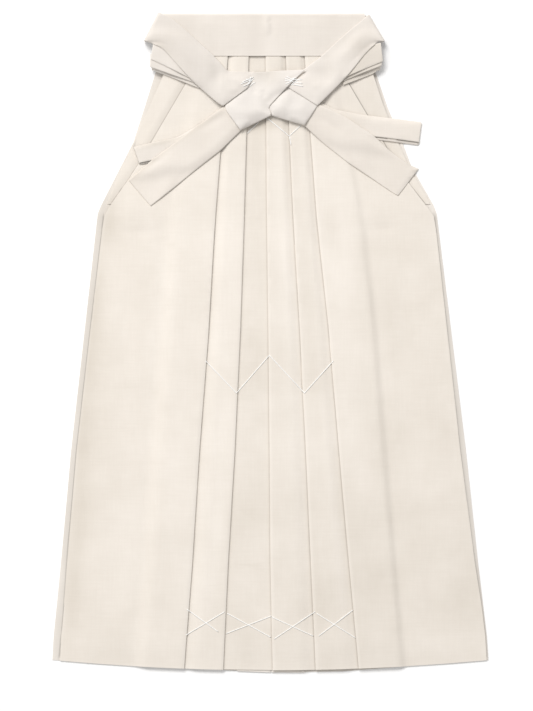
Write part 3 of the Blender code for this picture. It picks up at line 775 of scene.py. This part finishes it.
def finish_piece(mesh, node, material):
    """Wraps up a cloth shell: smooth shading, painted highlight on edges, cloth, body, and the solid it
    stands for.
    """
    mesh.name = "cloth_" + node
    shade_smooth(mesh)
    mesh.set_sharp_from_angle(angle=SMOOTH_ANGLE)
    mark_painted_highlight(mesh)
    mesh.materials.clear()
    mesh.materials.append(material)
    thing = new_object("cloth_" + node, mesh)
    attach(thing, "root")
    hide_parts(node)
    return thing


def new_material(name, surface):
    """A material with given surface values, its node tree and its shader."""
    material = bpy.data.materials.new(name)
    material.use_nodes = True
    shader = material.node_tree.nodes["Principled BSDF"]
    for socket, value in surface.items():
        shader.inputs[socket].default_value = value
    return material, material.node_tree, shader


def feed(tree, socket, value):
    """Gives a socket a fixed value, or links it to another one."""
    if isinstance(value, bpy.types.NodeSocket):
        tree.links.new(value, socket)
    else:
        socket.default_value = value


def marked(tree, name):
    """The value that a mesh's points are marked with."""
    node = tree.nodes.new("ShaderNodeAttribute")
    node.attribute_name = name
    return node.outputs["Fac"]


def combined(tree, operation, first, second):
    """Two values added or multiplied."""
    node = tree.nodes.new("ShaderNodeMath")
    node.operation = operation
    feed(tree, node.inputs[0], first)
    feed(tree, node.inputs[1], second)
    return node.outputs["Value"]


def spread(tree, value, limits):
    """A value taken from one range to another."""
    node = tree.nodes.new("ShaderNodeMapRange")
    for socket, limit in zip(("From Min", "From Max", "To Min", "To Max"), limits):
        node.inputs[socket].default_value = limit
    tree.links.new(value, node.inputs["Value"])
    return node.outputs["Result"]


def colour_mix(tree, factor, first, second):
    """A colour between two others, or past them where the factor is under 0 or over 1."""
    node = tree.nodes.new("ShaderNodeMix")
    node.data_type = "RGBA"
    node.clamp_factor = False
    tree.links.new(factor, node.inputs["Factor"])
    for place, colour in zip(MIX_COLOURS, (first, second)):
        feed(tree, node.inputs[place], colour)
    return node.outputs[MIX_RESULT]


def cloud(tree, vector, form):
    """A soft random pattern of a given scale, detail and roughness."""
    texture = tree.nodes.new("ShaderNodeTexNoise")
    for socket, value in zip(("Scale", "Detail", "Roughness"), form):
        texture.inputs[socket].default_value = value
    tree.links.new(vector, texture.inputs["Vector"])
    return texture.outputs["Fac"]


def bands(tree, vector, direction, pitch, wander):
    """Even bands across one direction, as yarns lie, which may wander a little."""
    texture = tree.nodes.new("ShaderNodeTexWave")
    texture.wave_type = "BANDS"
    texture.bands_direction = direction
    texture.inputs["Scale"].default_value = BAND_PERIOD / (pitch * MM)
    texture.inputs["Distortion"].default_value = wander
    texture.inputs["Detail"].default_value = 1.0
    tree.links.new(vector, texture.inputs["Vector"])
    return texture.outputs["Fac"]


def relief(tree, shader, height, strength, depth):
    """Gives a surface a fine relief, of a depth in millimetres."""
    node = tree.nodes.new("ShaderNodeBump")
    node.inputs["Strength"].default_value = strength
    node.inputs["Distance"].default_value = depth * MM
    tree.links.new(height, node.inputs["Height"])
    tree.links.new(node.outputs["Normal"], shader.inputs["Normal"])


def cotton(name, light, dark, angle, seed):
    """Undyed plain-weave cotton. The angle is the warp's direction over the ground, in degrees."""
    material, tree, shader = new_material(name, COTTON_SURFACE)
    place = tree.nodes.new("ShaderNodeTexCoord").outputs["Object"]

    def turned(scale):
        mapping = tree.nodes.new("ShaderNodeMapping")
        mapping.vector_type = "POINT"
        mapping.inputs["Rotation"].default_value = (0.0, 0.0, math.radians(90.0 - angle))
        mapping.inputs["Location"].default_value = [seed * step for step in SEED_STEP]
        mapping.inputs["Scale"].default_value = scale
        tree.links.new(place, mapping.inputs["Vector"])
        return mapping.outputs["Vector"]

    even = turned((1.0, 1.0, 1.0))
    mottle = cloud(tree, even, MOTTLE)
    warp_slubs = cloud(tree, turned((SLUB_FINE, SLUB_LONG, SLUB_LONG)), SLUBS)
    weft_slubs = cloud(tree, turned((SLUB_LONG, SLUB_FINE, SLUB_LONG)), SLUBS)
    slubs = combined(tree, "MULTIPLY", warp_slubs, weft_slubs)

    tone = combined(tree, "ADD", spread(tree, mottle, MOTTLE_TONE), spread(tree, slubs, SLUB_TONE))
    # The tone mark adds painted light and painted shade to the cloth's random tone
    tone = combined(tree, "ADD", tone, marked(tree, "tone"))
    colour = colour_mix(tree, tone, (*dark, 1.0), (*light, 1.0))
    # Painted shade: the colour is darkened in crevices and in the gaps of loops
    painted_shade_colour = [PAINTED_SHADE_DARK * value for value in dark]
    deep = combined(tree, "MULTIPLY", marked(tree, "painted_crevice_shade"), PAINTED_SHADE_STRENGTH)
    colour = colour_mix(tree, deep, colour, (*painted_shade_colour, 1.0))
    # Painted highlight: the colour is lightened along folds and edges
    painted_highlight_amount = combined(tree, "MULTIPLY", marked(tree, "painted_highlight"), PAINTED_HIGHLIGHT_STRENGTH)
    colour = colour_mix(tree, painted_highlight_amount, colour, (*PAINTED_HIGHLIGHT, 1.0))
    tree.links.new(colour, shader.inputs["Base Color"])

    mottle_rough = spread(tree, mottle, MOTTLE_ROUGHNESS)
    slub_rough = spread(tree, slubs, SLUB_ROUGHNESS)
    tree.links.new(combined(tree, "ADD", mottle_rough, slub_rough), shader.inputs["Roughness"])

    warp, weft = (bands(tree, even, direction, YARN_PITCH, YARN_WANDER) for direction in ("X", "Y"))
    fuzz = combined(tree, "MULTIPLY", cloud(tree, even, FUZZ), FUZZ_SHARE)
    height = combined(tree, "ADD", combined(tree, "MULTIPLY", warp, weft), fuzz)
    height = combined(tree, "ADD", height, combined(tree, "MULTIPLY", slubs, SLUB_SHARE))
    relief(tree, shader, height, WEAVE_STRENGTH, WEAVE_DEPTH)
    return material


def thread_material():
    """Soft white cotton thread with a twist."""
    material, tree, shader = new_material("basting_thread", THREAD_SURFACE)
    place = tree.nodes.new("ShaderNodeTexCoord").outputs["Object"]
    twist = bands(tree, place, "DIAGONAL", THREAD_PITCH, 0.0)
    shadow = [THREAD_DARK * value for value in THREAD]
    tree.links.new(colour_mix(tree, twist, (*shadow, 1.0), (*THREAD, 1.0)), shader.inputs["Base Color"])
    tree.links.new(spread(tree, twist, THREAD_ROUGHNESS), shader.inputs["Roughness"])
    relief(tree, shader, twist, TWIST_STRENGTH, TWIST_DEPTH)
    return material


def surface_tree(meshes):
    """Meshes to cast rays at, for finding how high the cloth lies."""
    corners, faces = [], []
    for mesh in meshes:
        base = len(corners)
        corners += [vertex.co[:] for vertex in mesh.vertices]
        faces += [[base + index for index in face.vertices] for face in mesh.polygons]
    return BVHTree.FromPolygons(corners, faces)


def outline_distance(mesh, points, own):
    """How far each point is from the shell's outline, seen from above. Turned-in edges don't count."""
    normals = np.empty(len(points) * 3)
    mesh.vertices.foreach_get("normal", normals)
    places = []
    for place, normal in zip(points, normals.reshape(-1, 3)):
        if abs(normal[2]) < OUTLINE_NORMAL:
            x, y = place[:2] + OUTLINE_STEP * normal[:2] / np.hypot(*normal[:2])
            if own.ray_cast(Vector((x, y, CAST_DEPTH)) * MM, UP)[0] is None:
                places.append(place)
    tree = KDTree(len(places))
    for index, place in enumerate(places):
        tree.insert((place[0], place[1], 0.0), index)
    tree.balance()
    return np.array([tree.find((point[0], point[1], 0.0))[2] for point in points])


def room_under(points, own, below, most):
    """How far the shell could sink at each point before it meets what lies under it."""
    room = np.zeros(len(points))
    for index, (x, y, z) in enumerate(points):
        hit = own.ray_cast(Vector((x, y, CAST_DEPTH)) * MM, UP)[0]
        bottom = hit.z / MM if hit else z
        under = 0.0
        for tree in below:
            hit = tree.ray_cast(Vector((x, y, bottom + SETTLE_START)) * MM, DOWN)[0]
            if hit:
                under = max(under, hit.z / MM)
        room[index] = min(max(bottom - under - SETTLE_GAP, 0.0), most)
    return room


def evened_out(mesh, room):
    """Room shared between neighbouring points, so that the cloth bends softly."""
    edges = np.empty(len(mesh.edges) * 2, dtype=int)
    mesh.edges.foreach_get("vertices", edges)
    starts, ends = edges.reshape(-1, 2).T
    count = np.bincount(edges, minlength=len(room))
    even = room.copy()
    for _ in range(SETTLE_ROUNDS):
        total = np.zeros(len(room))
        np.add.at(total, starts, even[ends])
        np.add.at(total, ends, even[starts])
        even = np.minimum((even + total / count) / 2.0, room + SETTLE_SLACK)
    return even


def settle(mesh, points, below, form):
    """Heights of a shell whose edges lie down on what is under them, while its middle stays."""
    width, most, top = form
    set_points(mesh, points)
    own = surface_tree([mesh])
    even = evened_out(mesh, room_under(points, own, below, most))
    near = np.clip(1.0 - outline_distance(mesh, points, own) / width, 0.0, 1.0) ** 2
    near *= SETTLE_TOP + (1.0 - SETTLE_TOP) * ease((top - points[:, 1]) / SETTLE_FADE)
    return points[:, 2] - even * near


def thread_line(tree, line):
    """Points of a thread drawn tight over the cloth: x, y and height in millimetres."""
    points = []
    for start, end in zip(line, line[1:]):
        steps = max(2, round(math.dist(start, end) / THREAD_STEP))
        for step in range(steps):
            share = step / steps
            points.append([a + (b - a) * share for a, b in zip(start, end)])
    points.append(list(line[-1]))
    heights = []
    for x, y in points:
        place = tree.ray_cast(Vector((x, y, CAST_HEIGHT)) * MM, DOWN)[0]
        heights.append(place.z / MM if place else 0.0)
    tight = []
    for index, height in enumerate(heights):
        near = heights[max(0, index - 1):index + 2]
        tight.append((max(near) + height) / 2.0)
    return [(x, y, z + THREAD_RISE * THREAD_RADIUS) for (x, y), z in zip(points, tight)]


def thread_tube(shape, points):
    """Adds a round thread with closed ends along points."""
    rings = []
    for index, point in enumerate(points):
        before = Vector(points[max(0, index - 1)])
        after = Vector(points[min(len(points) - 1, index + 1)])
        direction = (after - before).normalized()
        side = direction.cross(UP).normalized()
        up = side.cross(direction)
        ring = []
        for step in range(THREAD_SIDES):
            turn = 2.0 * math.pi * step / THREAD_SIDES
            radius = THREAD_RADIUS * (1.0 + THREAD_PLIES * math.cos(2.0 * turn + THREAD_TWIST * index))
            offset = side * math.cos(turn) * radius + up * math.sin(turn) * radius
            ring.append(shape.verts.new((Vector(point) + offset) * MM))
        rings.append(ring)
    for near, far in zip(rings, rings[1:]):
        for step in range(THREAD_SIDES):
            other = (step + 1) % THREAD_SIDES
            shape.faces.new((near[step], near[other], far[other], far[step]))
    shape.faces.new(rings[0][::-1])
    shape.faces.new(rings[-1])


def threads(name, lines, tree, material):
    """One piece of basting: several threads over the cloth."""
    shape = bmesh.new()
    for line in lines:
        thread_tube(shape, thread_line(tree, line))
    bmesh.ops.recalc_face_normals(shape, faces=shape.faces)
    mesh = mesh_of(shape, name)
    shade_smooth(mesh)
    mesh.materials.append(material)
    thing = new_object(name, mesh)
    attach(thing, "root")
    return thing


def make_camera():
    """A long lens straight above the garment, framed as the photograph."""
    data = bpy.data.cameras.new("camera")
    data.sensor_fit = "AUTO"
    data.sensor_width = SENSOR
    data.lens = SENSOR * (CAMERA_DISTANCE - SUBJECT_HEIGHT) / (FRAME_HIGH * PIXEL)
    data.clip_end = CAMERA_REACH
    camera = bpy.data.objects.new("camera", data)
    bpy.context.scene.collection.objects.link(camera)
    camera.location = Vector((CAMERA_X, CAMERA_Y, CAMERA_DISTANCE)) * MM
    bpy.context.scene.camera = camera


def area_light(name, place, size, energy):
    """A soft light aimed at the middle of the garment."""
    data = bpy.data.lights.new(name, "AREA")
    data.shape = "DISK"
    data.size = size
    data.energy = energy
    data.color = LIGHT_COLOUR
    lamp = bpy.data.objects.new(name, data)
    bpy.context.scene.collection.objects.link(lamp)
    lamp.location = place
    lamp.rotation_mode = "QUATERNION"
    lamp.rotation_quaternion = (-Vector(place)).to_track_quat("-Z", "Y")


def make_ground():
    """A wide, plain, pale sheet just under the garment."""
    reach = GROUND_REACH
    corners = [(-reach, -reach, 0.0), (reach, -reach, 0.0), (reach, reach, 0.0), (-reach, reach, 0.0)]
    mesh = bpy.data.meshes.new("ground")
    mesh.from_pydata(corners, [], [(0, 1, 2, 3)])
    ground = new_object("ground", mesh)
    ground.location.z = -GROUND_DROP * MM
    material, _, _ = new_material("ground", GROUND_SURFACE)
    mesh.materials.append(material)


def make_room():
    """The lights, an even room, and colours shown as they are."""
    for name, (place, size, energy) in LIGHTS.items():
        area_light(name, place, size, energy)
    world = bpy.data.worlds.new("room")
    bpy.context.scene.world = world
    world.use_nodes = True
    background = world.node_tree.nodes["Background"]
    background.inputs["Color"].default_value = (*ROOM_COLOUR, 1.0)
    background.inputs["Strength"].default_value = ROOM_STRENGTH
    bpy.context.scene.view_settings.view_transform = "Standard"


def panel_mesh(node, cell):
    """The shell of a panel or band, with the front's lift and creases."""
    shape = node_shape(node, PANEL_JOIN_ANGLE)
    cut_for_painted_shade(shape, node)
    cut_to_cells(shape, cell)
    mesh = mesh_of(shape, node)
    points = points_of(mesh)
    mark_painted_crevice_shade(mesh, points, node)
    mark_tones_and_painted_light(mesh, points, TONES_WITH_PAINTED_LIGHT_AND_SHADE)
    if node.startswith(LIFTED):
        x, y = points[:, 0], points[:, 1]
        points[:, 2] += front_lift(x, y)
        if node == "front_waistband":
            wrinkles = sum(crease_height(row, x, y) for row in BAND_CREASES)
            points[:, 2] += np.maximum(wrinkles, -FRONT_LIFT)
        set_points(mesh, points)
    return mesh


def tie_mesh(node, below):
    """The shell of a tie, with its own creases, settled on what lies below it."""
    mesh = smoothed(node_shape(node, TIE_JOIN_ANGLE), node, TIE_LEVELS)
    points = points_of(mesh)
    x, y = points[:, 0], points[:, 1]
    high = ease((points[:, 2] - TIE_LIFT_START) / TIE_LIFT_RANGE)
    lift = front_lift(x, y) * high + knot_lift(x, y)
    for row in TIE_CREASES.get(node, ()):
        lift = lift + crease_height(row, x, y) * high
    points[:, 2] += lift
    if node in SETTLING:
        points[:, 2] = settle(mesh, points, below, SETTLE_FORMS.get(node, SETTLE_FORM))
    for pull_x, pull_y, radius, depth in PULLED.get(node, ()):
        points[:, 2] -= depth * ease(1.0 - np.hypot(x - pull_x, y - pull_y) / radius)
    set_points(mesh, points)
    mark_tones_and_painted_light(mesh, points, TIE_PAINTED_SHADE_PATCHES.get(node, ()))
    if node in PAINTED_LOOP_GAP_SHADES:
        paint_loop_gap_shade(mesh, points, node)
    return mesh


def tie_painted_shade_factor(node):
    """The painted shade of a tie's cloth, as a factor of each of its colours."""
    shades = [shade for start, shade in TIE_PAINTED_SHADE_FACTORS.items() if node.startswith(start)]
    return shades[0] if shades else (1.0, 1.0, 1.0)


def build_panels():
    """The shells of all panels and bands, by node name."""
    cloths = {name: cotton(name, *looks) for name, looks in PANEL_CLOTHS.items()}
    return {
        node: finish_piece(panel_mesh(node, cell), node, cloths[cloth])
        for node, cell, slot, cloth, _ in PANELS
    }


def build_ties(made):
    """Adds the shells of all ties to the shells made so far, from the lowest up."""
    cloths = {}
    below = [surface_tree([thing.data for thing in made.values()])]
    for node, angle, _ in TIES:
        shade = tie_painted_shade_factor(node)
        if (angle, shade) not in cloths:
            # Each tie gets its own copy of the cotton, painted darker or lighter by its painted shade factor
            light, dark = ([a * b for a, b in zip(tone, shade)] for tone in (TIE_LIGHT, TIE_DARK))
            number = len(cloths)
            cloths[angle, shade] = cotton(f"tie_cotton_{number}", light, dark, angle, TIE_SEED + number)
        made[node] = finish_piece(tie_mesh(node, below), node, cloths[angle, shade])
        below.append(surface_tree([made[node].data]))


make_camera()
make_ground()
make_room()
cloth = build_panels()
build_ties(cloth)
white = thread_material()
front_tree = surface_tree([cloth["front_left"].data, cloth["front_right"].data])
basting_pieces = [threads(name, lines, front_tree, white) for name, lines in BASTING.items()]
whole_tree = surface_tree([thing.data for thing in cloth.values()])
basting_pieces += [threads(name, lines, whole_tree, white) for name, lines in TUFTS.items()]
